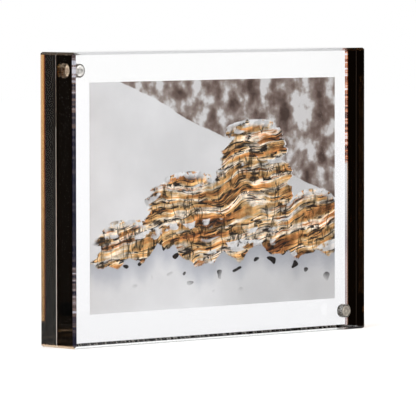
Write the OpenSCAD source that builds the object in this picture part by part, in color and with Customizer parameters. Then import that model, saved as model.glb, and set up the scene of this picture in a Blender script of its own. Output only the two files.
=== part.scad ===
// Magnetic display frame: two thick bevelled acrylic slabs with tinted ends,
// held together by pairs of small disc magnets in two opposite corners, with a
// photo print clamped between them. Millimetres, +Z up. The origin is on the
// surface it stands on, under the middle, and the front faces -Y.

/* [Slabs] */
// Width of the frame, over both tinted ends
frame_w = 177.8; // [170:0.1:320]
// Height of the frame
frame_h = 127.6; // [112:0.1:260]
// Thickness of the front slab
front_t = 11.5; // [8:0.05:16]
// Thickness of the rear slab
rear_t = 11; // [8:0.05:16]

/* [Polished edges] */
// Leg of the bevel round each slab's outer face
face_bevel = 1.2; // [0.4:0.1:2]
// Leg of the bevel on the four short edges that run front to back
corner_bevel = 1.2; // [0.4:0.1:2]
// Leg of the small bevel round each slab's inner face
inner_bevel = 0.05; // [0.05:0.05:0.6]

/* [Tinted ends] */
// Thickness of the tinted layer bonded to each end of a slab, with its bond line
tint_t = 0.5; // [0.4:0.1:3]
// Thickness of the bond line between a slab's clear middle and its tinted ends
bond_t = 0.02; // [0.01:0.01:0.1]

/* [Print] */
// Width of the print
print_w = 149; // [60:0.5:150]
// Height of the print
print_h = 100.4; // [40:0.1:102]
// Thickness of the print's paper
print_t = 0.2; // [0.15:0.05:0.5]
// Clearance between the print and each slab
print_clearance = 0.025; // [0.02:0.005:0.05]
// How far right of the middle the print was laid
print_shift = 0.5; // [-2:0.1:2]
// How far above the middle the print was laid
print_rise = 0.4; // [-2:0.1:2]

/* [Magnets] */
// Diameter of each disc magnet
magnet_d = 6; // [4:0.1:8]
// Thickness of each disc magnet
magnet_l = 2.5; // [1.5:0.1:5]
// Leg of the chamfer on a magnet's two rims
magnet_chamfer = 0.2; // [0.05:0.05:0.4]
// Distance from a magnet's centre to the frame's side and to its top or bottom
magnet_inset = 8; // [7:0.1:11]
// Clearance round a magnet in its pocket
pocket_clearance = 0.1; // [0.05:0.05:0.3]
// Thickness of the cement disc at a pocket's floor
cement_t = 0.15; // [0.1:0.05:0.4]
// How far the cement disc stays inside the magnet's rim
cement_margin = 0.6; // [0.2:0.1:1.5]

/* [Hidden] */

// Facets of a circle
round_fn = 64;
// Overrun of the cuts
overrun = 1;

// The slabs lie this far apart, round the print
print_gap = print_t + 2 * print_clearance;
frame_d = front_t + print_gap + rear_t;
pocket_depth = magnet_l + cement_t;
pocket_d = magnet_d + 2 * pocket_clearance;

// Where the magnets sit across the frame and up it: top left and bottom right
magnet_x = frame_w / 2 - magnet_inset;
magnet_top = [-magnet_x, frame_h - magnet_inset];
magnet_bottom = [magnet_x, magnet_inset];

clear_colour = [0.86, 0.92, 0.93, 0.4];
tint_colour = [0.16, 0.12, 0.09, 0.85];
magnet_colour = [0.66, 0.65, 0.63];
cement_colour = [0.78, 0.77, 0.72];
paper_colour = [0.8, 0.78, 0.76];

// Corners of a rectangle that runs across from its middle and starts at 0 in
// depth, with one bevel on the near corners and another on the far ones
function bevelled(across, deep, near, far) = [
    [-across / 2 + near, 0], [across / 2 - near, 0],
    [across / 2, near], [across / 2, deep - far],
    [across / 2 - far, deep], [-across / 2 + far, deep],
    [-across / 2, deep - far], [-across / 2, near],
];

// A slab with its outer face at y = 0 and its inner face at y = thickness. Its
// outlines from above, from the side and from the front meet in mitred corners.
module slab_blank(thickness) {
    from_above = bevelled(frame_w, thickness, face_bevel, inner_bevel);
    from_side = [for (p = bevelled(frame_h, thickness, face_bevel, inner_bevel)) [p[1], p[0]]];
    from_front = bevelled(frame_w, frame_h, corner_bevel, corner_bevel);
    intersection() {
        linear_extrude(frame_h) polygon(from_above);
        translate([-frame_w / 2, 0, frame_h / 2])
            rotate([90, 0, 90]) linear_extrude(frame_w) polygon(from_side);
        translate([0, thickness, 0])
            rotate([90, 0, 0]) linear_extrude(thickness) polygon(from_front);
    }
}

// A disc on a slab's depth axis, centred on a magnet's place
module disc_at(place, from_outer_face, length, diameter) {
    translate([place[0], from_outer_face, place[1]])
        rotate([-90, 0, 0]) cylinder(h = length, d = diameter, $fn = round_fn);
}

// A slab with a blind pocket for a magnet in two corners of its inner face
module drilled_slab(thickness) {
    difference() {
        slab_blank(thickness);
        for (place = [magnet_top, magnet_bottom])
            disc_at(place, thickness - pocket_depth, pocket_depth + overrun, pocket_d);
    }
}

// The clear middle of a slab, between the bond lines of its tinted ends
module slab_core(thickness) {
    core_w = frame_w - 2 * tint_t;
    color(clear_colour) intersection() {
        drilled_slab(thickness);
        translate([-core_w / 2, -overrun, -overrun])
            cube([core_w, thickness + 2 * overrun, frame_h + 2 * overrun]);
    }
}

// The tinted layer at one end of a slab: side is -1 on the left, 1 on the right
module slab_end(thickness, side) {
    outer_x = frame_w / 2 + overrun;
    bonded_x = frame_w / 2 - tint_t + bond_t;
    color(tint_colour) intersection() {
        drilled_slab(thickness);
        translate([side < 0 ? -outer_x : bonded_x, -overrun, -overrun])
            cube([outer_x - bonded_x, thickness + 2 * overrun, frame_h + 2 * overrun]);
    }
}

// A magnet with chamfered rims, flush with the slab's inner face
module magnet(thickness, place) {
    rim = magnet_d / 2;
    inside_rim = rim - magnet_chamfer;
    color(magnet_colour)
        translate([place[0], thickness - magnet_l, place[1]])
            rotate([-90, 0, 0]) rotate_extrude($fn = round_fn) polygon([
                [0, 0], [inside_rim, 0], [rim, magnet_chamfer],
                [rim, magnet_l - magnet_chamfer], [inside_rim, magnet_l], [0, magnet_l],
            ]);
}

// The cement between a pocket's floor and its magnet
module cement(thickness, place) {
    color(cement_colour)
        disc_at(place, thickness - pocket_depth, cement_t, magnet_d - 2 * cement_margin);
}

// Carry a slab's pieces to the front or to the back of the frame
module in_front() {
    translate([0, -frame_d / 2, 0]) children();
}

module behind() {
    translate([0, frame_d / 2, 0]) mirror([0, 1, 0]) children();
}

// The photo print, picture side forward
module photo_print() {
    color(paper_colour)
        translate([
            print_shift - print_w / 2,
            front_t + print_clearance - frame_d / 2,
            print_rise + (frame_h - print_h) / 2,
        ]) cube([print_w, print_t, print_h]);
}

in_front() slab_core(front_t);  // front_panel
in_front() slab_end(front_t, -1);  // front_left_edge
in_front() slab_end(front_t, 1);  // front_right_edge
behind() slab_core(rear_t);  // rear_panel
behind() slab_end(rear_t, -1);  // rear_left_edge
behind() slab_end(rear_t, 1);  // rear_right_edge
photo_print();
in_front() magnet(front_t, magnet_top);  // front_magnet_top
in_front() magnet(front_t, magnet_bottom);  // front_magnet_bottom
behind() magnet(rear_t, magnet_top);  // rear_magnet_top
behind() magnet(rear_t, magnet_bottom);  // rear_magnet_bottom
in_front() cement(front_t, magnet_top);  // front_cement_top
in_front() cement(front_t, magnet_bottom);  // front_cement_bottom
behind() cement(rear_t, magnet_top);  // rear_cement_top
behind() cement(rear_t, magnet_bottom);  // rear_cement_bottom
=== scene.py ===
"""Looks of the magnetic display frame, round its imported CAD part.

Two bevelled slabs of clear acrylic with smoke-bronze ends stand on a white
table and hold a photo print between them, pulled together by nickel magnets in
two opposite corners. Every solid is the CAD's own; the finishes, the picture on
the print, the light and the camera are made here. Metres, in the frame's own
axes: +X to the right, +Y to the back, +Z up.
"""

import math

import bpy
from mathutils import Matrix, Vector


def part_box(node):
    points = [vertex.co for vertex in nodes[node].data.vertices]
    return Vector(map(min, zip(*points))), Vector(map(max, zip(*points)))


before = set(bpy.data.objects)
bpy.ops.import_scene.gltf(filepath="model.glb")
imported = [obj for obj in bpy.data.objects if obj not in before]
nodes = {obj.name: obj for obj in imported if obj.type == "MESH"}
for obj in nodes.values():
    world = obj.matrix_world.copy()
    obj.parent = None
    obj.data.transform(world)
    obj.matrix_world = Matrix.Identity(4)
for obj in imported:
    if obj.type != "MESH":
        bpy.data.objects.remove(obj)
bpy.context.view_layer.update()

# Sizes

SLAB_PARTS = {
    "front": ("front_panel", "front_left_edge", "front_right_edge"),
    "rear": ("rear_panel", "rear_left_edge", "rear_right_edge"),
}
CORNERS = ("top", "bottom")
HAIR = 1e-5  # a hair's breadth, for telling one face from the next

clear_low, clear_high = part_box("front_panel")
tinted_low, tinted_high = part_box("front_right_edge")
magnet_low, magnet_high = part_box("front_magnet_top")
print_low, print_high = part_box("photo_print")

HEIGHT = clear_high.z
FRONT_Y = clear_low.y
BOND_X = clear_high.x  # the clear middle ends here
TINTED_X = tinted_low.x  # and past the bond line, the tinted end begins here
TINT_THICK = tinted_high.x - tinted_low.x
GAP_LOW_Y, GAP_HIGH_Y = clear_high.y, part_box("rear_panel")[0].y  # the slabs' inner faces
GAP_MIDDLE_Y = (GAP_LOW_Y + GAP_HIGH_Y) / 2
HALF_GAP = (GAP_HIGH_Y - GAP_LOW_Y) / 2
MAGNET_R = (magnet_high.x - magnet_low.x) / 2
POCKET_R = MAGNET_R * 1.08  # clears the pocket's wall
POCKET_FRONT_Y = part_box("front_cement_top")[0].y
POCKET_BACK_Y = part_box("rear_cement_top")[1].y


def magnet_axes():
    """(x, z) of the axis that a corner's two magnets share, for each corner."""
    axes = []
    for corner in CORNERS:
        low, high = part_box(f"front_magnet_{corner}")
        axes.append(((low.x + high.x) / 2, (low.z + high.z) / 2))
    return axes


MAGNET_AXES = magnet_axes()

# Camera

PHOTO_WIDTH_PX = 416
SENSOR_WIDTH_MM = 36
FOCAL_PX = 4787
CAMERA_TURN = math.radians(43.378)  # from straight in front of the frame, to its left
CAMERA_DIP = math.radians(2.731)
CAMERA_ROLL = -0.0015
CAMERA_DISTANCE = 2.107
VIEW_DEPTH = 50
AIM = Vector((-0.00993, FRONT_Y, 0.0617))


def set_camera():
    """A long lens, left of the front and a little above it, unshifted and all but level."""
    forward = Vector((
        math.sin(CAMERA_TURN) * math.cos(CAMERA_DIP),
        math.cos(CAMERA_TURN) * math.cos(CAMERA_DIP),
        -math.sin(CAMERA_DIP),
    ))
    lens = bpy.data.cameras.new("camera")
    lens.sensor_fit = "HORIZONTAL"
    lens.sensor_width = SENSOR_WIDTH_MM
    lens.lens = FOCAL_PX * SENSOR_WIDTH_MM / PHOTO_WIDTH_PX
    lens.clip_end = VIEW_DEPTH
    camera = bpy.data.objects.new("camera", lens)
    turn = forward.to_track_quat("-Z", "Y").to_matrix().to_4x4()
    roll = Matrix.Rotation(CAMERA_ROLL, 4, "Z")
    camera.matrix_world = Matrix.Translation(AIM - forward * CAMERA_DISTANCE) @ (turn @ roll)
    bpy.context.scene.collection.objects.link(camera)
    bpy.context.scene.camera = camera


# Node arithmetic

WHITE = (1.0, 1.0, 1.0)
BLACK = (0.0, 0.0, 0.0)


class Field:
    """A number that nodes work out at each point. +, -, *, / and the methods add Math nodes."""

    def __init__(self, tree, socket):
        self.tree, self.socket = tree, socket

    def math(self, operation, *others):
        return calculate(self.tree, operation, self, *others)

    def __add__(self, other):
        return self.math("ADD", other)

    def __sub__(self, other):
        return self.math("SUBTRACT", other)

    def __rsub__(self, other):
        return calculate(self.tree, "SUBTRACT", other, self)

    def __mul__(self, other):
        return self.math("MULTIPLY", other)

    def __truediv__(self, other):
        return self.math("DIVIDE", other)

    def __lt__(self, other):
        return self.math("LESS_THAN", other)

    def __gt__(self, other):
        return self.math("GREATER_THAN", other)

    def __abs__(self):
        return self.math("ABSOLUTE")

    __radd__ = __add__

    def least(self, other):
        return self.math("MINIMUM", other)

    def most(self, other):
        return self.math("MAXIMUM", other)

    def power(self, exponent):
        return self.math("POWER", exponent)

    def step(self, low, high, start=0.0, end=1.0):
        """Goes smoothly from start, below low, to end, above high."""
        node = self.tree.nodes.new("ShaderNodeMapRange")
        node.interpolation_type = "SMOOTHSTEP"
        self.tree.links.new(self.socket, node.inputs["Value"])
        for name, value in (
            ("From Min", low),
            ("From Max", high),
            ("To Min", start),
            ("To Max", end),
        ):
            node.inputs[name].default_value = value
        return Field(self.tree, node.outputs["Result"])

    def band(self, low, full_from, full_to, high, level=1.0):
        """Is level from full_from to full_to, and falls smoothly to 0 at low and at high."""
        return self.step(low, full_from) * self.step(full_to, high, level, 0.0)


def plug(tree, socket, value):
    """Joins a Field or a node's output to a socket, or sets the socket to a plain value."""
    if isinstance(value, Field):
        tree.links.new(value.socket, socket)
    elif isinstance(value, bpy.types.NodeSocket):
        tree.links.new(value, socket)
    elif value is not None:
        socket.default_value = value


def calculate(tree, operation, *values):
    """A Math node's result."""
    node = tree.nodes.new("ShaderNodeMath")
    node.operation = operation
    for socket, value in zip(node.inputs, values):
        plug(tree, socket, value)
    return Field(tree, node.outputs[0])


def components(tree, vector):
    """The three numbers of a vector, as Fields."""
    node = tree.nodes.new("ShaderNodeSeparateXYZ")
    tree.links.new(vector, node.inputs[0])
    return [Field(tree, socket) for socket in node.outputs]


def vector_of(tree, x, y, z=0.0):
    """A vector made of Fields or plain numbers."""
    node = tree.nodes.new("ShaderNodeCombineXYZ")
    for socket, value in zip(node.inputs, (x, y, z)):
        plug(tree, socket, value)
    return node.outputs[0]


def vector_math(tree, operation, inputs):
    """A Vector Math node's result, with its inputs given by number or name."""
    node = tree.nodes.new("ShaderNodeVectorMath")
    node.operation = operation
    for key, value in inputs.items():
        plug(tree, node.inputs[key], value)
    return node.outputs[0]


def scaled(colour, factor):
    """A colour made darker or lighter by a Field."""
    return vector_math(factor.tree, "SCALE", {0: colour, "Scale": factor})


def product(tree, first, second):
    """Two colours multiplied."""
    return vector_math(tree, "MULTIPLY", {0: first, 1: second})


def shade(factor, dark, light):
    """The colour from dark, at 0, to light, at 1."""
    node = factor.tree.nodes.new("ShaderNodeMix")
    node.data_type = "RGBA"
    plug(factor.tree, node.inputs[0], factor)
    for socket, colour in ((node.inputs[6], dark), (node.inputs[7], light)):
        plug(factor.tree, socket, (*colour, 1) if isinstance(colour, tuple) else colour)
    return node.outputs[2]


def palette(factor, stops):
    """The colour at factor along stops, a list of (position, colour)."""
    node = factor.tree.nodes.new("ShaderNodeValToRGB")
    plug(factor.tree, node.inputs[0], factor)
    ramp = node.color_ramp
    while len(ramp.elements) < len(stops):
        ramp.elements.new(0.5)
    for element, (position, colour) in zip(ramp.elements, stops):
        element.position = position
        element.color = (*colour, 1)
    return node.outputs[0]


def noise(tree, point, scale, detail=2.0, roughness=0.5):
    """Cloudy noise from 0 to 1, about 0.5 on average."""
    node = tree.nodes.new("ShaderNodeTexNoise")
    plug(tree, node.inputs["Vector"], point)
    plug(tree, node.inputs["Scale"], scale)
    plug(tree, node.inputs["Detail"], detail)
    plug(tree, node.inputs["Roughness"], roughness)
    return Field(tree, node.outputs[0])


def object_point(tree):
    """The point's place in the frame, as a vector."""
    return tree.nodes.new("ShaderNodeTexCoord").outputs["Object"]


def place(tree):
    """(x, y, z) of the point in the frame."""
    return components(tree, object_point(tree))


def face_normal(tree):
    """(across, along, up): the flat face's normal, in the frame's axes."""
    return components(tree, tree.nodes.new("ShaderNodeNewGeometry").outputs["True Normal"])


def light_path(tree, name):
    """One of the Light Path node's outputs."""
    return Field(tree, tree.nodes.new("ShaderNodeLightPath").outputs[name])


def shader(tree, kind, **inputs):
    """A shader node with its sockets set, named with _ for a space; returns its output."""
    node = tree.nodes.new(kind)
    for name, value in inputs.items():
        if isinstance(value, tuple) and len(value) == 3:
            value = (*value, 1)
        plug(tree, node.inputs[name.replace("_", " ")], value)
    return node.outputs[0]


def see_straight(tree, colour=WHITE):
    """A shader that light crosses unbent."""
    return shader(tree, "ShaderNodeBsdfTransparent", Color=colour)


def chalky(tree, colour):
    """A wholly matt shader."""
    return shader(tree, "ShaderNodeBsdfDiffuse", Color=colour)


def either(factor, first, second):
    """The first shader where factor is 0, the second where it is 1."""
    node = factor.tree.nodes.new("ShaderNodeMixShader")
    plug(factor.tree, node.inputs[0], factor)
    factor.tree.links.new(first, node.inputs[1])
    factor.tree.links.new(second, node.inputs[2])
    return node.outputs[0]


def blank(owner):
    """The emptied node tree of a material or a world, and its output node."""
    owner.use_nodes = True
    tree = owner.node_tree
    tree.nodes.clear()
    kind = "World" if isinstance(owner, bpy.types.World) else "Material"
    return tree, tree.nodes.new(f"ShaderNodeOutput{kind}")


def finish_node(name, material):
    """Gives a CAD node its material."""
    for slot in nodes[name].material_slots:
        slot.material = material


# Which face a point is on

ALONG_AXIS = 0.95  # share of a normal that lies along an axis, at least, on a face square to it
FACES_AXIS = 0.5  # the same, on a face nearer to square to it than not
SLANTS = 0.3  # the same, on a bevel that slants towards it
GAP_EDGE = 0.00008  # depth that takes in the slabs' small bevels at the gap


def on_bevel(tree):
    """1 on the slanting faces, whose normal follows no axis, and 0 on the others."""
    across, along, up = face_normal(tree)
    return abs(across).most(abs(along)).most(abs(up)) < ALONG_AXIS


def from_gap(tree):
    """How deep in its slab a point lies, from the slab's inner face."""
    _, y, _ = place(tree)
    return abs(y - GAP_MIDDLE_Y) - HALF_GAP


def at_gap_edge(tree):
    """1 on a tinted end's face at the gap and on its small bevels there."""
    _, along, _ = face_normal(tree)
    return (from_gap(tree) < GAP_EDGE) * (abs(along) > FACES_AXIS)


def from_magnet_axis(tree):
    """How far a point lies from the axis of the nearer pair of magnets."""
    x, _, z = place(tree)
    first, second = [
        ((x - axis_x).power(2) + (z - axis_z).power(2)).power(0.5)
        for axis_x, axis_z in MAGNET_AXES
    ]
    return first.least(second)


def in_pocket(tree):
    """1 inside the round pockets of the magnets, which are filled with clear cement."""
    _, y, _ = place(tree)
    depth = (y > POCKET_FRONT_Y - HAIR) * (y < POCKET_BACK_Y + HAIR)
    return (from_magnet_axis(tree) < POCKET_R) * depth


def in_front_pocket(tree):
    """1 on the walls and floors of the front slab's pockets."""
    _, y, _ = place(tree)
    return in_pocket(tree) * (y < GAP_LOW_Y + HAIR)


def clear_joined(tree):
    """The clear middle is joined at its two bond faces and in the pockets."""
    x, _, _ = place(tree)
    return (abs(x) > BOND_X - HAIR).most(in_pocket(tree))


def tinted_joined(tree):
    """A tinted end is joined at its bond face."""
    x, _, _ = place(tree)
    return abs(x) < TINTED_X + HAIR


def is_guided(tree):
    """1 for light that a slab has mirrored inside: on the left, more than once."""
    x, _, _ = place(tree)
    return light_path(tree, "Glossy Depth") > (x < 0) + 0.5


# Cutter's marks on the bevels, with painted light and shade in their tones

MARKS_PER_METRE = 760.0
ALONG_A_MARK = 0.15  # how fast a mark's tone changes along it, beside across it
LEFT_CONTRAST, LEFT_TONE = 2.0, -0.93
LEFT_PAINTED_LIGHT_AND_SHADE = [  # painted light and shade in the left marks' tone between two heights: added below and added above
    (0.22, 0.36, 0.38, 0.0),
    (0.06, 0.1, -0.3, 0.0),
    (0.66, 0.8, 0.0, 0.29),
    (0.86, 1.0, 0.0, 0.16),
]
PAINTED_MAGNET_IMAGE = (0.9, 0.92, 0.965, 0.98, 0.34)  # painted reflection of the top magnet: a band of heights, and tone added in it
RIGHT_CONTRAST, RIGHT_TONE = 1.7, -0.36
RIGHT_PAINTED_LIGHT_AND_SHADE = (0.75, 0.95, -0.06, 0.12)  # painted light and shade in the right marks' tone, by height
RIGHT_MARKS_FROM = (0.58, 0.6)  # share of the height above which the right bevels are marked
LEFT_MARKS = [  # colours by tone
    (0.1, (0.013, 0.013, 0.032)),
    (0.36, (0.09, 0.074, 0.088)),
    (0.5, (0.22, 0.14, 0.11)),
    (0.64, (0.36, 0.31, 0.34)),
    (0.82, (0.66, 0.66, 0.74)),
]
RIGHT_MARKS = [
    (0.22, (0.05, 0.02, 0.02)),
    (0.4, (0.28, 0.09, 0.05)),
    (0.58, (0.8, 0.38, 0.22)),
    (0.74, (0.88, 0.82, 0.9)),
]
RIGHT_PLAIN_PAINTED_LIGHT_AND_SHADE = [  # painted light and shade where the right bevels are unmarked: colours by height, as a share of the frame's
    (0.12, (0.46, 0.38, 0.38)),
    (0.22, (0.54, 0.42, 0.41)),
    (0.3, (0.36, 0.31, 0.33)),
    (0.42, (0.5, 0.48, 0.49)),
    (0.54, (0.68, 0.66, 0.68)),
]
PAINTED_SHADE_EDGE_TOP = 0.0004  # height of the painted shade, a grey edge at the foot of the lower bevel in front
PAINTED_SHADE_EDGE_FADE = 1.4  # times as high, where it has faded out
PAINTED_SHADE_EDGE = (0.68, 0.68, 0.69)
LOW = 0.1 * HEIGHT  # the lower bevels lie under this, and the upper ones over it
SKIPPED_OVER = (0.52, 0.58)  # noise above which the buffing wheel skipped the lower back bevel
MATT_SHARE = 0.6  # of the marks on the left and of the skipped stretches
SCUFF_GREY = (0.62, 0.6, 0.56)
POLISH_WAVES = 900.0  # per metre, along the hand-polished bevels
POLISH_HEIGHT = 0.00014


def cutter_noise(tree, across_marks, along_marks):
    """Noise in short dashes."""
    point = vector_of(tree, across_marks, along_marks * ALONG_A_MARK)
    return noise(tree, point, MARKS_PER_METRE, detail=2.0, roughness=0.6)


def marks_and_painted_light(tree):
    """The colour of the dashes across the upright bevels, by their height and side: cutter's
    marks, with painted light and shade by height and a painted reflection of the top magnet.
    """
    x, y, z = place(tree)
    height = z / HEIGHT
    dashes = cutter_noise(tree, z, x + y)
    left = dashes * LEFT_CONTRAST + LEFT_TONE
    for change in LEFT_PAINTED_LIGHT_AND_SHADE:
        left = left + height.step(*change)
    left = left + height.band(*PAINTED_MAGNET_IMAGE)
    right = dashes * RIGHT_CONTRAST + RIGHT_TONE + height.step(*RIGHT_PAINTED_LIGHT_AND_SHADE)
    marked = height.step(*RIGHT_MARKS_FROM)
    right = shade(marked, palette(height, RIGHT_PLAIN_PAINTED_LIGHT_AND_SHADE), palette(right, RIGHT_MARKS))
    return shade(x > 0, palette(left, LEFT_MARKS), right)


def bevel_finish(tree):
    """(tint, matt, film) of the bevels.

    The upright ones are tinted by the cutter's marks, with painted light and shade in
    their tones, and on the left those are partly matt. So are short stretches of the
    lower bevel at the back, which guided light doesn't see. The lower bevel in front
    has a grey edge of painted shade at its foot. Film is the colour of what is matt.
    """
    x, y, z = place(tree)
    _, along, up = face_normal(tree)
    bevel = on_bevel(tree)
    upright = bevel * (abs(up) < SLANTS)
    tone = marks_and_painted_light(tree)
    # painted shade: a grey edge along the foot of the lower bevel in front
    painted_shade_edge = z.step(PAINTED_SHADE_EDGE_TOP, PAINTED_SHADE_EDGE_FADE * PAINTED_SHADE_EDGE_TOP, 1.0, 0.0)
    painted_shade_edge = (up < -SLANTS) * (along < -SLANTS) * painted_shade_edge
    tint = shade(painted_shade_edge, shade(upright, WHITE, tone), PAINTED_SHADE_EDGE)

    low_back = bevel * (abs(up) > SLANTS) * (z < LOW) * (y > GAP_HIGH_Y)
    skipped = cutter_noise(tree, x, z).step(*SKIPPED_OVER)
    skipped = skipped * (light_path(tree, "Glossy Depth") < 0.5)
    left = upright * (x < 0)
    matt = (low_back * skipped).most(left) * MATT_SHARE
    return tint, matt, shade(left, SCUFF_GREY, tone)


def hand_polish(tree):
    """A normal that wavers on the bevels, as after a cutter and a buffing wheel."""
    waves = noise(tree, object_point(tree), POLISH_WAVES, detail=3.0, roughness=0.6)
    node = tree.nodes.new("ShaderNodeBump")
    node.inputs["Distance"].default_value = POLISH_HEIGHT
    node.inputs["Strength"].default_value = 1.0
    plug(tree, node.inputs["Height"], waves * on_bevel(tree))
    return node.outputs[0]


# Wear of the tinted ends, their painted colour fringe, and their darkening low down

PAINTED_FRINGE_DEPTH = 0.003  # from a slab's inner face, over which the painted fringe runs
PAINTED_FRINGE = [  # painted colours of the light through the ends, as dispersion splits it, by share of that depth
    (0.0, (0.09, 0.02, 0.04)),
    (0.2, (0.14, 0.035, 0.03)),
    (0.34, (0.36, 0.14, 0.04)),
    (0.5, (0.95, 0.78, 0.42)),
    (0.85, (1.0, 0.9, 0.7)),
    (1.0, WHITE),
]
DARKER_BELOW = (0.0, 0.85, 0.48, 0.03)  # heights, and light lost under and over them, rear left: darker towards the bottom
DIM_GAP_ABOVE = (0.4, 0.8, 0.0, 0.65)  # the same for the left ends' edge at the gap
DARK_GAP = (0.06, 0.055, 0.055)  # tint of the right ends' edge there
SLAB_HAZE = {"front": 0.003, "rear": 0.022}  # matt share of the left ends
HAZE_CLOUDS = (0.35, 0.65)  # noise from where haze is thin to where it is thick
HAZE_RANGE = (0.8, 1.1)  # times the slab's haze, where it is thin and where it is thick
HAZIER_BELOW = (0.0, 0.9, 0.9, 0.0)  # heights, and haze added under and over them, in the rear
SCUFFS_PER_METRE = 260.0
SPECKS_PER_METRE = 190.0
SPECK_SIZE = 0.045  # as a share of their spacing
SPECK_CHANCE = 0.28  # that a place holds one
SPECK_SHARE = 0.3  # matt share of a speck
GROUND_BELOW = (0.1, 0.75, 0.6, 0.0)  # heights, and matt share, of the rear left end at the gap
GROUND_WHITE = (0.9, 0.89, 0.86)


def dust(tree):
    """1 on sparse specks a few tenths of a millimetre wide."""
    node = tree.nodes.new("ShaderNodeTexVoronoi")
    plug(tree, node.inputs["Vector"], object_point(tree))
    node.inputs["Scale"].default_value = SPECKS_PER_METRE
    chosen, _, _ = components(tree, node.outputs["Color"])
    near = Field(tree, node.outputs["Distance"]) < SPECK_SIZE
    return near * (chosen > 1 - SPECK_CHANCE)


def end_tint(tree):
    """The tint of a tinted end.

    Its flat has a painted fringe of coloured light and shade near the slab's inner
    face, as dispersion leaves at the edge, and on the left in the rear it is darker
    towards the bottom. The right ends have a dark edge at the gap, and the left ends
    one that is dim high up.
    """
    x, y, z = place(tree)
    height = z / HEIGHT
    across, _, _ = face_normal(tree)
    darker_low = (x < 0) * (y > 0) * height.step(*DARKER_BELOW)
    # painted fringe of coloured light and shade, as dispersion leaves near the gap
    painted_fringe = scaled(palette(from_gap(tree) / PAINTED_FRINGE_DEPTH, PAINTED_FRINGE), 1 - darker_low)
    tint = shade(abs(across) > ALONG_AXIS, WHITE, painted_fringe)
    edge = at_gap_edge(tree)
    tint = scaled(tint, 1 - edge * (x < 0) * height.step(*DIM_GAP_ABOVE))
    return shade(edge * (x > 0), tint, DARK_GAP)


def end_wear(tree, haze):
    """(matt, ground): the matt share of the left ends' scuffs and dust, which is larger
    low down in the rear, and that of the rear one's ground edge at the gap."""
    x, y, z = place(tree)
    height = z / HEIGHT
    cloud = noise(tree, object_point(tree), SCUFFS_PER_METRE, detail=4.0, roughness=0.6)
    scuffs = cloud.step(*HAZE_CLOUDS, *(share * haze for share in HAZE_RANGE))
    scuffs = scuffs * ((y > 0) * height.step(*HAZIER_BELOW) + 1.0)
    matt = (x < 0) * scuffs.most(dust(tree) * SPECK_SHARE)
    ground = at_gap_edge(tree) * (x < 0) * (y > 0) * height.step(*GROUND_BELOW)
    return matt, ground


# Acrylic

ACRYLIC_IOR = 1.49
LAMP_THROUGH_CLEAR = (0.92, 0.92, 0.92)  # share of a lamp's light that gets through a face
LAMP_THROUGH_TINT = (0.62, 0.46, 0.36)
TINT_LETS_THROUGH = (0.76, 0.63, 0.5)  # of light that crosses one tinted end straight


def absorption(lets_through, over):
    """Volume Absorption's colour and density for the share of light that crosses a depth."""
    taken = [-math.log(share) / over for share in lets_through]
    density = max(taken) * 1.05  # over the most that is taken, so that no channel is 0
    return {"Color": tuple(1 - each / density for each in taken), "Density": density}


def acrylic(name, joined, lamp_tint, volume=None, haze=None, lost=None):
    """Polished acrylic.

    On faces where joined is 1 it is bonded or cemented to what it touches, so light
    crosses them unbent, and where lost is 1 guided light ends. Lamps shine through
    it. Haze is the share of a tinted end that scuffs and dust make matt.
    """
    material = bpy.data.materials.new(name)
    tree, output = blank(material)
    colour, matt, film = bevel_finish(tree)
    if haze is not None:
        colour = product(tree, colour, end_tint(tree))
        worn, ground = end_wear(tree, haze)
        matt = matt.most(worn).most(ground)
        film = shade(ground > HAIR, film, GROUND_WHITE)
    polished = shader(
        tree,
        "ShaderNodeBsdfGlass",
        Color=colour,
        Roughness=0.0,
        IOR=ACRYLIC_IOR,
        Normal=hand_polish(tree),
    )
    seen = either(matt, polished, chalky(tree, film))
    seen = either(joined(tree), seen, see_straight(tree))
    if lost is not None:
        seen = either(lost(tree) * is_guided(tree), seen, chalky(tree, BLACK))
    lamps = see_straight(tree, lamp_tint)
    surface = either(light_path(tree, "Is Shadow Ray"), seen, lamps)
    tree.links.new(surface, output.inputs["Surface"])
    if volume:
        tinted = shader(tree, "ShaderNodeVolumeAbsorption", **volume)
        tree.links.new(tinted, output.inputs["Volume"])
    return material


def dress_slabs():
    """Clear acrylic for the slabs' middles, and tinted for their ends."""
    clear = acrylic("clear_acrylic", clear_joined, LAMP_THROUGH_CLEAR, lost=in_front_pocket)
    for slab, (panel, *ends) in SLAB_PARTS.items():
        tinted = acrylic(
            f"tinted_acrylic_{slab}",
            tinted_joined,
            LAMP_THROUGH_TINT,
            absorption(TINT_LETS_THROUGH, TINT_THICK),
            SLAB_HAZE[slab],
        )
        finish_node(panel, clear)
        for end in ends:
            finish_node(end, tinted)


# The print

PAPER_WHITE = (0.88, 0.88, 0.87)
PAPER_ROUGHNESS = 0.3
SNOW = (0.87, 0.87, 0.88)
SNOW_SHADOW = (0.66, 0.68, 0.73)
BLACK_LINE = (0.02, 0.015, 0.014)
RUST = (0.24, 0.085, 0.03)
ORANGE = (0.6, 0.25, 0.07)
OCHRE = (0.72, 0.45, 0.18)
CREAM = (0.88, 0.8, 0.68)
WOODS = [  # colours by noise
    (0.38, (0.08, 0.05, 0.04)),
    (0.45, (0.2, 0.14, 0.12)),
    (0.51, (0.36, 0.3, 0.27)),
    (0.57, (0.74, 0.73, 0.73)),
]
SANDSTONE = [
    (0.34, RUST),
    (0.42, ORANGE),
    (0.5, OCHRE),
    (0.57, CREAM),
    (0.62, ORANGE),
    (0.68, RUST),
]
HUMPS = [  # of the outcrop: middle, half width, top, and drop at the half width
    (0.98, 0.23, 0.82, 0.3),
    (0.58, 0.27, 0.6, 0.26),
    (0.22, 0.22, 0.4, 0.2),
    (1.36, 0.2, 0.5, 0.2),
]
BED_TILT, BED_WARP = 0.16, 0.16
LEDGE_REACH, RAGGED_REACH = 0.24, 0.04  # how far ledges and broken edges shift the outline
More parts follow.
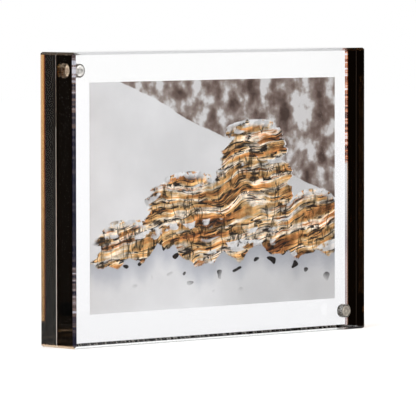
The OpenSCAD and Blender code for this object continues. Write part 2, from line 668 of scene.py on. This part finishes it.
SEAM_EDGES = (0.01, 0.04)  # noise off its middle, from a black seam to bare stone
SEAM_BREAKS = (0.53, 0.59)  # ragged noise over which a seam is broken
OTHER_SEAMS = 7.0  # how far off the seams' noise is taken, so that they don't follow the bands
JOINT_EDGES = (0.0, 0.025, 0.15, 1.0)  # noise off its middle, and light in a joint and off it
RELIEF_STEP = 0.012  # how far away from the light depths are compared
FORM_RELIEF, LEDGE_RELIEF = 4.5, 3.0
DARKEST_SLOPE = 0.25
SNOWY_STEPS, SNOWY_HOLLOWS = (0.56, 0.59), (0.48, 0.53)  # noise over which snow lies
LEDGE_SNOW = 0.9  # share of the stone that snow on a ledge hides
CAP_DEPTH = (0.012, 0.04, 1.0, 0.0)  # under the outline, and snow there
CAP_BREAKS = (0.42, 0.48)  # ragged noise under which the cap of snow is broken
SNOW_LIGHT = (0.5, 1.5, 0.72, 1.05)  # light on a slope, and on the snow that lies on it
EDGE = 0.003  # half the width over which one thing's edge gives way to the next
SLOPE_TOP, SLOPE_FALL, SLOPE_WAVES = 1.08, 0.42, 0.06  # of the snow behind, from the left
DIMMER_RIGHT = (0.2, 1.4, 1.0, 0.84)  # places across, and light on the snow there
HOLLOWS = (0.3, 0.7, 0.88, 1.04)  # noise, and light on the snow
DRIFT_TOP, DRIFT_SWELL, DRIFT_CRUMBS = 0.22, 0.44, 0.05  # of the snow in front
DRIFT_EDGE = 0.004
CREST_SHADOW = (0.0, 0.12)  # depths under the drift's crest, from shadow to light
STONES = (0.7, 0.712)  # noise over which a stone lies
STONES_DEPTH = (0.05, 0.14, 1.0, 0.0)  # under the crest, and share of the stones that show


def woods(tree, u, v):
    """Snowy trees out of focus: soft upright smears of bark brown and frosted grey."""
    trunks = noise(tree, vector_of(tree, u * 1.8, v), scale=5.0)
    clumps = noise(tree, vector_of(tree, u, v), scale=14.0, detail=3.0)
    return palette(trunks * 0.5 + clumps * 0.5, WOODS)


def hump(u, middle, half, top, drop):
    """A rounded block's outline: top less drop times the fourth power of the distance
    from its middle, in half widths."""
    return top - (abs(u - middle) / half).power(4.0) * drop


def ledge_noise(tree, u, bed, scale, detail, roughness=0.5):
    """Noise drawn out along the beds."""
    return noise(tree, vector_of(tree, u * 0.1, bed), scale, detail, roughness)


def outcrop_top(u, steps, ragged):
    """How high the outcrop stands: its humps, shifted by ledges and broken edges."""
    shifted = u + (steps - 0.5) * LEDGE_REACH + (ragged - 0.5) * RAGGED_REACH
    top, *others = [hump(shifted, *shape) for shape in HUMPS]
    for other in others:
        top = top.most(other)
    return top


def relief(tree, u, v, bed):
    """(depth, light): how deep the stone's hollows are, and the light on its slopes.

    It is lit from the upper left: what grows shallower away from there is bright.
    """
    form = {"scale": 12.0, "detail": 5.0, "roughness": 0.55}
    depth = noise(tree, vector_of(tree, u, v), **form)
    beyond = noise(tree, vector_of(tree, u + RELIEF_STEP, v - RELIEF_STEP), **form)
    ledge = ledge_noise(tree, u, bed, scale=16.0, detail=3.0)
    under = ledge_noise(tree, u, bed - RELIEF_STEP, scale=16.0, detail=3.0)
    light = (depth - beyond) * FORM_RELIEF + (under - ledge) * LEDGE_RELIEF + 1.0
    return depth, light.most(DARKEST_SLOPE)


def sandstone(tree, u, v, bed, ragged, light):
    """The colour of stone in bands, with black seams along them and dark joints across."""
    banded = palette(ledge_noise(tree, u, bed, scale=22.0, detail=4.0, roughness=0.6), SANDSTONE)
    seams = ledge_noise(tree, u, bed + OTHER_SEAMS, scale=26.0, detail=3.0, roughness=0.6)
    seams = abs(seams - 0.5).step(*SEAM_EDGES).most(ragged.step(*SEAM_BREAKS))
    joints = noise(tree, vector_of(tree, u * 3.0, v), scale=3.4, detail=3.0, roughness=0.6)
    joints = abs(joints - 0.5).step(*JOINT_EDGES)
    return shade(seams, BLACK_LINE, scaled(banded, light * joints))


def outcrop(tree, u, v):
    """(mask, colour) of a banded sandstone reef with snow on its ledges, which climbs
    to the right."""
    at = vector_of(tree, u, v)
    bed = v - u * BED_TILT + noise(tree, at, scale=3.0, detail=3.0) * BED_WARP
    steps = ledge_noise(tree, u, bed, scale=16.0, detail=2.0)
    ragged = noise(tree, at, scale=22.0, detail=4.0, roughness=0.55)
    depth, light = relief(tree, u, v, bed)
    stone = sandstone(tree, u, v, bed, ragged, light)

    below_top = outcrop_top(u, steps, ragged) - v
    on_ledges = steps.step(*SNOWY_STEPS) * depth.step(*SNOWY_HOLLOWS) * LEDGE_SNOW
    cap = below_top.step(*CAP_DEPTH) * ragged.step(*CAP_BREAKS)
    snow = scaled(SNOW, light.step(*SNOW_LIGHT))
    return below_top.step(-EDGE, EDGE), shade(cap.most(on_ledges), stone, snow)


def drift(tree, u, v, snow):
    """(mask, colour) of the snow in front, with a shadow under its crest and some stones."""
    at = vector_of(tree, u, v)
    swell = noise(tree, vector_of(tree, u, 0.0), scale=3.6) - 0.5
    crumbs = noise(tree, at, scale=24.0, detail=4.0, roughness=0.6) - 0.5
    below_crest = DRIFT_TOP + swell * DRIFT_SWELL + crumbs * DRIFT_CRUMBS - v
    shadow = shade(below_crest.step(*CREST_SHADOW), SNOW_SHADOW, WHITE)
    stones = noise(tree, vector_of(tree, u, v * 1.5, 3.0), scale=15.0, detail=0.0)
    stones = stones.step(*STONES) * below_crest.step(*STONES_DEPTH)
    colour = shade(stones, product(tree, snow, shadow), BLACK_LINE)
    return below_crest.step(-DRIFT_EDGE, DRIFT_EDGE), colour


def picture(tree):
    """The printed landscape: woods, a slope of snow, the outcrop, and a drift in front.

    u and v run across and up from the print's lower left corner, in its heights.
    """
    x, _, z = place(tree)
    height = print_high.z - print_low.z
    u = (x - print_low.x) / height
    v = (z - print_low.z) / height
    at = vector_of(tree, u, v)
    hollows = noise(tree, at, scale=2.4, detail=5.0).step(*HOLLOWS)
    snow = scaled(SNOW, hollows * u.step(*DIMMER_RIGHT))
    waves = noise(tree, at, scale=4.0, detail=4.0) - 0.5
    slope_top = SLOPE_TOP - u * SLOPE_FALL + waves * SLOPE_WAVES
    seen = shade((slope_top - v).step(-EDGE, EDGE), woods(tree, u, v), snow)
    for mask, colour in (outcrop(tree, u, v), drift(tree, u, v, snow)):
        seen = shade(mask, seen, colour)
    return seen


def dress_print():
    """Photo paper with the picture on its front."""
    material = bpy.data.materials.new("photo_paper")
    tree, output = blank(material)
    _, along, _ = face_normal(tree)
    surface = shader(
        tree,
        "ShaderNodeBsdfPrincipled",
        Base_Color=shade(along < -FACES_AXIS, PAPER_WHITE, picture(tree)),
        Roughness=PAPER_ROUGHNESS,
    )
    tree.links.new(surface, output.inputs["Surface"])
    finish_node("photo_print", material)


# Magnets and cement

NICKEL_DARK = (0.2, 0.18, 0.15)
NICKEL_LIGHT = (0.92, 0.9, 0.86)
NICKEL_METALLIC = 0.7
NICKEL_ROUGHNESS = (0.3, 0.7, 0.45, 0.25)  # noise, and roughness where it is dark and light
TARNISH = (0.38, 0.62)  # noise, from dark to light
WEAR_PER_METRE = 1300.0
ALONG_A_SCRATCH = 0.25  # how fast the wear changes along the axis, beside across it
TOP_MAGNETS_PAINTED_SHADE, BOTTOM_MAGNETS_PAINTED_LIGHT = 0.78, 0.28  # painted shade and light: brightness of the top magnets, and what the bottom ones add
RIM = (0.78, 0.9, 1.0, 0.25)  # of a magnet's ends: from and to in radii, light inside and on it
CEMENT_RINGS = [  # by distance from the axis, in magnet radii
    (0.0, (1.0, 1.0, 0.98)),
    (0.16, (0.95, 0.94, 0.91)),
    (0.32, (0.66, 0.65, 0.62)),
    (0.5, (0.74, 0.73, 0.7)),
    (0.62, (1.0, 0.99, 0.96)),
    (0.8, (0.8, 0.79, 0.76)),
]
CEMENT_BOTTOM_TINT = (0.72, 0.68, 0.6)
CEMENT_ROUGHNESS = 0.4
CEMENT_CLOUDS_PER_METRE = 1400.0
CEMENT_CLOUDS = (0.35, 0.65, 0.7, 1.1)  # noise, and brightness


def nickel_finish():
    """Nickel with tarnish, scratches and a dark rim round each end, with painted shade on the
    top magnets and painted light on the bottom ones.

    Light that the rear slab guides past a magnet is turned back at its inner end,
    as at the slab's face round it. The front slab's is lost.
    """
    nickel = bpy.data.materials.new("nickel")
    tree, output = blank(nickel)
    x, y, z = place(tree)
    _, along, _ = face_normal(tree)
    scratches = vector_of(tree, x, y * ALONG_A_SCRATCH, z)
    wear = noise(tree, scratches, WEAR_PER_METRE, detail=4.0, roughness=0.6)
    dark_rim = 1 - (from_magnet_axis(tree) / MAGNET_R).step(*RIM)
    dark_rim = (abs(along) > ALONG_AXIS) * dark_rim
    tone = shade(wear.step(*TARNISH), NICKEL_DARK, NICKEL_LIGHT)
    metal = shader(
        tree,
        "ShaderNodeBsdfPrincipled",
        # painted shade on the top magnets and painted light on the bottom ones
        Base_Color=scaled(tone, (1 - dark_rim) * ((x > 0) * BOTTOM_MAGNETS_PAINTED_LIGHT + TOP_MAGNETS_PAINTED_SHADE)),
        Metallic=NICKEL_METALLIC,
        Roughness=wear.step(*NICKEL_ROUGHNESS),
    )
    turned = shader(tree, "ShaderNodeBsdfAnisotropic", Color=WHITE, Roughness=0.0)
    at_inner_end = either(from_gap(tree) < HAIR, see_straight(tree), turned)
    to_guided = either(y > 0, chalky(tree, BLACK), at_inner_end)
    tree.links.new(either(is_guided(tree), metal, to_guided), output.inputs["Surface"])
    return nickel


def cement_finish():
    """Cement that cured in rings, darker and yellower behind the bottom magnets."""
    cement = bpy.data.materials.new("cement")
    tree, output = blank(cement)
    x, _, _ = place(tree)
    rings = palette(from_magnet_axis(tree) / MAGNET_R, CEMENT_RINGS)
    rings = shade(x > 0, rings, product(tree, rings, CEMENT_BOTTOM_TINT))
    cloud = noise(tree, object_point(tree), CEMENT_CLOUDS_PER_METRE, detail=4.0, roughness=0.6)
    cured = shader(
        tree,
        "ShaderNodeBsdfPrincipled",
        Base_Color=scaled(rings, cloud.step(*CEMENT_CLOUDS)),
        Roughness=CEMENT_ROUGHNESS,
    )
    tree.links.new(cured, output.inputs["Surface"])
    return cement


def dress_magnets():
    """Nickel for the magnets, and cement for what holds them, which mirrored rays pass."""
    nickel, cement = nickel_finish(), cement_finish()
    for slab in SLAB_PARTS:
        for corner in CORNERS:
            finish_node(f"{slab}_magnet_{corner}", nickel)
            finish_node(f"{slab}_cement_{corner}", cement)
            nodes[f"{slab}_cement_{corner}"].visible_glossy = False


# Studio

SKY_LEVEL = 1.04  # what lights matt surfaces from all sides
SKY_INSIDE = 2.2  # times as much for what is cemented in: acrylic gathers light by index squared
BACKDROP_LEVEL = 1.17  # as seen through the clear acrylic, which takes a sixth

# The studio that mirrored rays find, by direction, in steps and bands as a Field takes them
WINDOW_LEVELS = (1.3, 1.0)  # of the lit backdrop, under and over eye height
WINDOW_TURN = math.radians(43)  # from straight behind the frame, to its right
WINDOW_SIDE = (0.32, 0.46, 1.0, 0.0)
WINDOW_TOP = (0.6, 0.75, 1.0, 0.0)
EYE_HEIGHT = (-0.012, 0.004)
SOFTBOX_LEVEL = 1.5
SOFTBOX_ACROSS = (0.25, 0.38, 0.62, 0.72)
SOFTBOX_ALONG = (0.35, 0.5)
SOFTBOX_UP = (0.2, 0.3, 0.54, 0.62)
TABLE_LEVEL = 0.3  # towards the lit backdrop
TABLE_AWAY = 0.15  # times as much, away from it
TABLE_TURN = (0.0, 0.5)
TABLE_EDGE = (-0.2, -0.1)
ROOM_LEVEL = 0.007


def ray_kinds(tree):
    """(matt, mirrored): 1 for rays that left a matt surface, and for those that were
    mirrored on their way."""
    matt = light_path(tree, "Diffuse Depth") > 0.5
    mirrored = (light_path(tree, "Glossy Depth") > 0.5) * (1 - matt)
    return matt, mirrored


def studio_level(tree):
    """What mirrored rays find: a dark room with a table, a lit backdrop behind the frame
    at its right, and soft lamps high on that side, one in front and one behind."""
    x, y, z = components(tree, tree.nodes.new("ShaderNodeTexCoord").outputs["Generated"])
    toward = x * math.sin(WINDOW_TURN) + y * math.cos(WINDOW_TURN)
    aside = abs(x * math.cos(WINDOW_TURN) - y * math.sin(WINDOW_TURN))
    window = (toward > 0) * aside.step(*WINDOW_SIDE) * z.step(*WINDOW_TOP)
    window = window * z.step(*EYE_HEIGHT, *WINDOW_LEVELS)
    softbox = x.band(*SOFTBOX_ACROSS) * abs(y).step(*SOFTBOX_ALONG)
    softbox = softbox * z.band(*SOFTBOX_UP, SOFTBOX_LEVEL)
    above_table = z.step(*TABLE_EDGE)
    table = toward.step(*TABLE_TURN, TABLE_AWAY * TABLE_LEVEL, TABLE_LEVEL)
    room = window.most(softbox).most(ROOM_LEVEL)
    return table * (1 - above_table) + room * above_table


def sky_level(tree):
    """What lights a matt surface: more for one in a slab, which a ray goes into and out of."""
    crossed = light_path(tree, "Transmission Depth")
    in_and_out = (crossed > 1.5) * (crossed < 2.5)
    return (in_and_out * (SKY_INSIDE - 1.0) + 1.0) * SKY_LEVEL


def make_world():
    """White all round to the eye and through clear acrylic, and a studio to mirrored rays."""
    world = bpy.data.worlds.new("studio")
    bpy.context.scene.world = world
    world.cycles.sampling_method = "NONE"
    tree, output = blank(world)
    matt, mirrored = ray_kinds(tree)
    through = 1 - light_path(tree, "Is Camera Ray")
    backdrop = through * (BACKDROP_LEVEL - 1.0) + 1.0
    level = backdrop * (1 - mirrored) + studio_level(tree) * mirrored
    level = level * (1 - matt) + matt * sky_level(tree)
    background = shader(tree, "ShaderNodeBackground", Color=WHITE, Strength=level)
    tree.links.new(background, output.inputs["Surface"])


FLOOR_HALF = 3.0
FLOOR_DROP = 5e-5  # keeps the table off the frame's own underside
TABLE_WHITE = (0.96, 0.96, 0.96)
TABLE_GLOW = (0.985, 0.985, 1.0)  # its colour through the acrylic
TABLE_STEEP_LEVEL = 0.9  # through the acrylic, where the lacquer has no sheen
TABLE_LOW_LEVEL = 1.06  # the same with its sheen, at about 5 degrees
LACQUER_SHEEN = (0.4, 0.9)  # Layer Weight's Facing, over which the sheen sets in
GRAZING_SHEEN = (0.9, 0.96)  # and over which it grows to the backdrop's white


def table_finish():
    """White lacquer with a sheen at low angles.

    The eye sees it white but for the frame's shadow, and mirrored rays pass it.
    """
    material = bpy.data.materials.new("table_white")
    tree, output = blank(material)
    matt, mirrored = ray_kinds(tree)
    low = Field(tree, tree.nodes.new("ShaderNodeLayerWeight").outputs["Facing"])
    behind = low.step(*LACQUER_SHEEN, TABLE_STEEP_LEVEL, TABLE_LOW_LEVEL)
    behind = behind + low.step(*GRAZING_SHEEN, 0.0, BACKDROP_LEVEL - TABLE_LOW_LEVEL)
    level = matt * SKY_LEVEL + (1 - matt) * behind
    glow = shader(tree, "ShaderNodeEmission", Color=TABLE_GLOW, Strength=level)
    unseen = either(mirrored, glow, see_straight(tree))
    seen = either(light_path(tree, "Is Camera Ray"), unseen, chalky(tree, TABLE_WHITE))
    tree.links.new(seen, output.inputs["Surface"])
    return material


def make_table():
    """A square table top under the frame."""
    corners = [
        (across * FLOOR_HALF, along * FLOOR_HALF, -FLOOR_DROP)
        for across, along in ((-1, -1), (1, -1), (1, 1), (-1, 1))
    ]
    mesh = bpy.data.meshes.new("table")
    mesh.from_pydata(corners, [], [(0, 1, 2, 3)])
    table = bpy.data.objects.new("table", mesh)
    bpy.context.scene.collection.objects.link(table)
    mesh.materials.append(table_finish())


LAMPS = {  # place, width and watts
    "key": ((-1.4, -0.3, 1.5), 1.0, 14),
    "fill": ((0.9, -1.5, 1.3), 1.4, 6),
}
LAMP_AIM = Vector((0, 0, 0.06))


def add_lamps():
    """Square soft lamps that face the middle of the frame."""
    for name, (where, width, watts) in LAMPS.items():
        light = bpy.data.lights.new(name, "AREA")
        light.size = width
        light.energy = watts
        lamp = bpy.data.objects.new(name, light)
        turn = (LAMP_AIM - Vector(where)).to_track_quat("-Z", "Y").to_matrix().to_4x4()
        lamp.matrix_world = Matrix.Translation(where) @ turn
        lamp.visible_camera = lamp.visible_transmission = False
        bpy.context.scene.collection.objects.link(lamp)


GUIDED_BOUNCES = 32
BENT_CROSSINGS = 16  # of faces
STRAIGHT_CROSSINGS = 32


def set_light_paths():
    """Light guided through a slab is mirrored about a dozen times on its way."""
    cycles = bpy.context.scene.cycles
    cycles.max_bounces = cycles.glossy_bounces = GUIDED_BOUNCES
    cycles.transmission_bounces = BENT_CROSSINGS
    cycles.transparent_max_bounces = STRAIGHT_CROSSINGS


# Making it

bpy.context.scene.view_settings.view_transform = "Standard"
set_camera()
set_light_paths()
make_world()
make_table()
add_lamps()
dress_slabs()
dress_print()
dress_magnets()
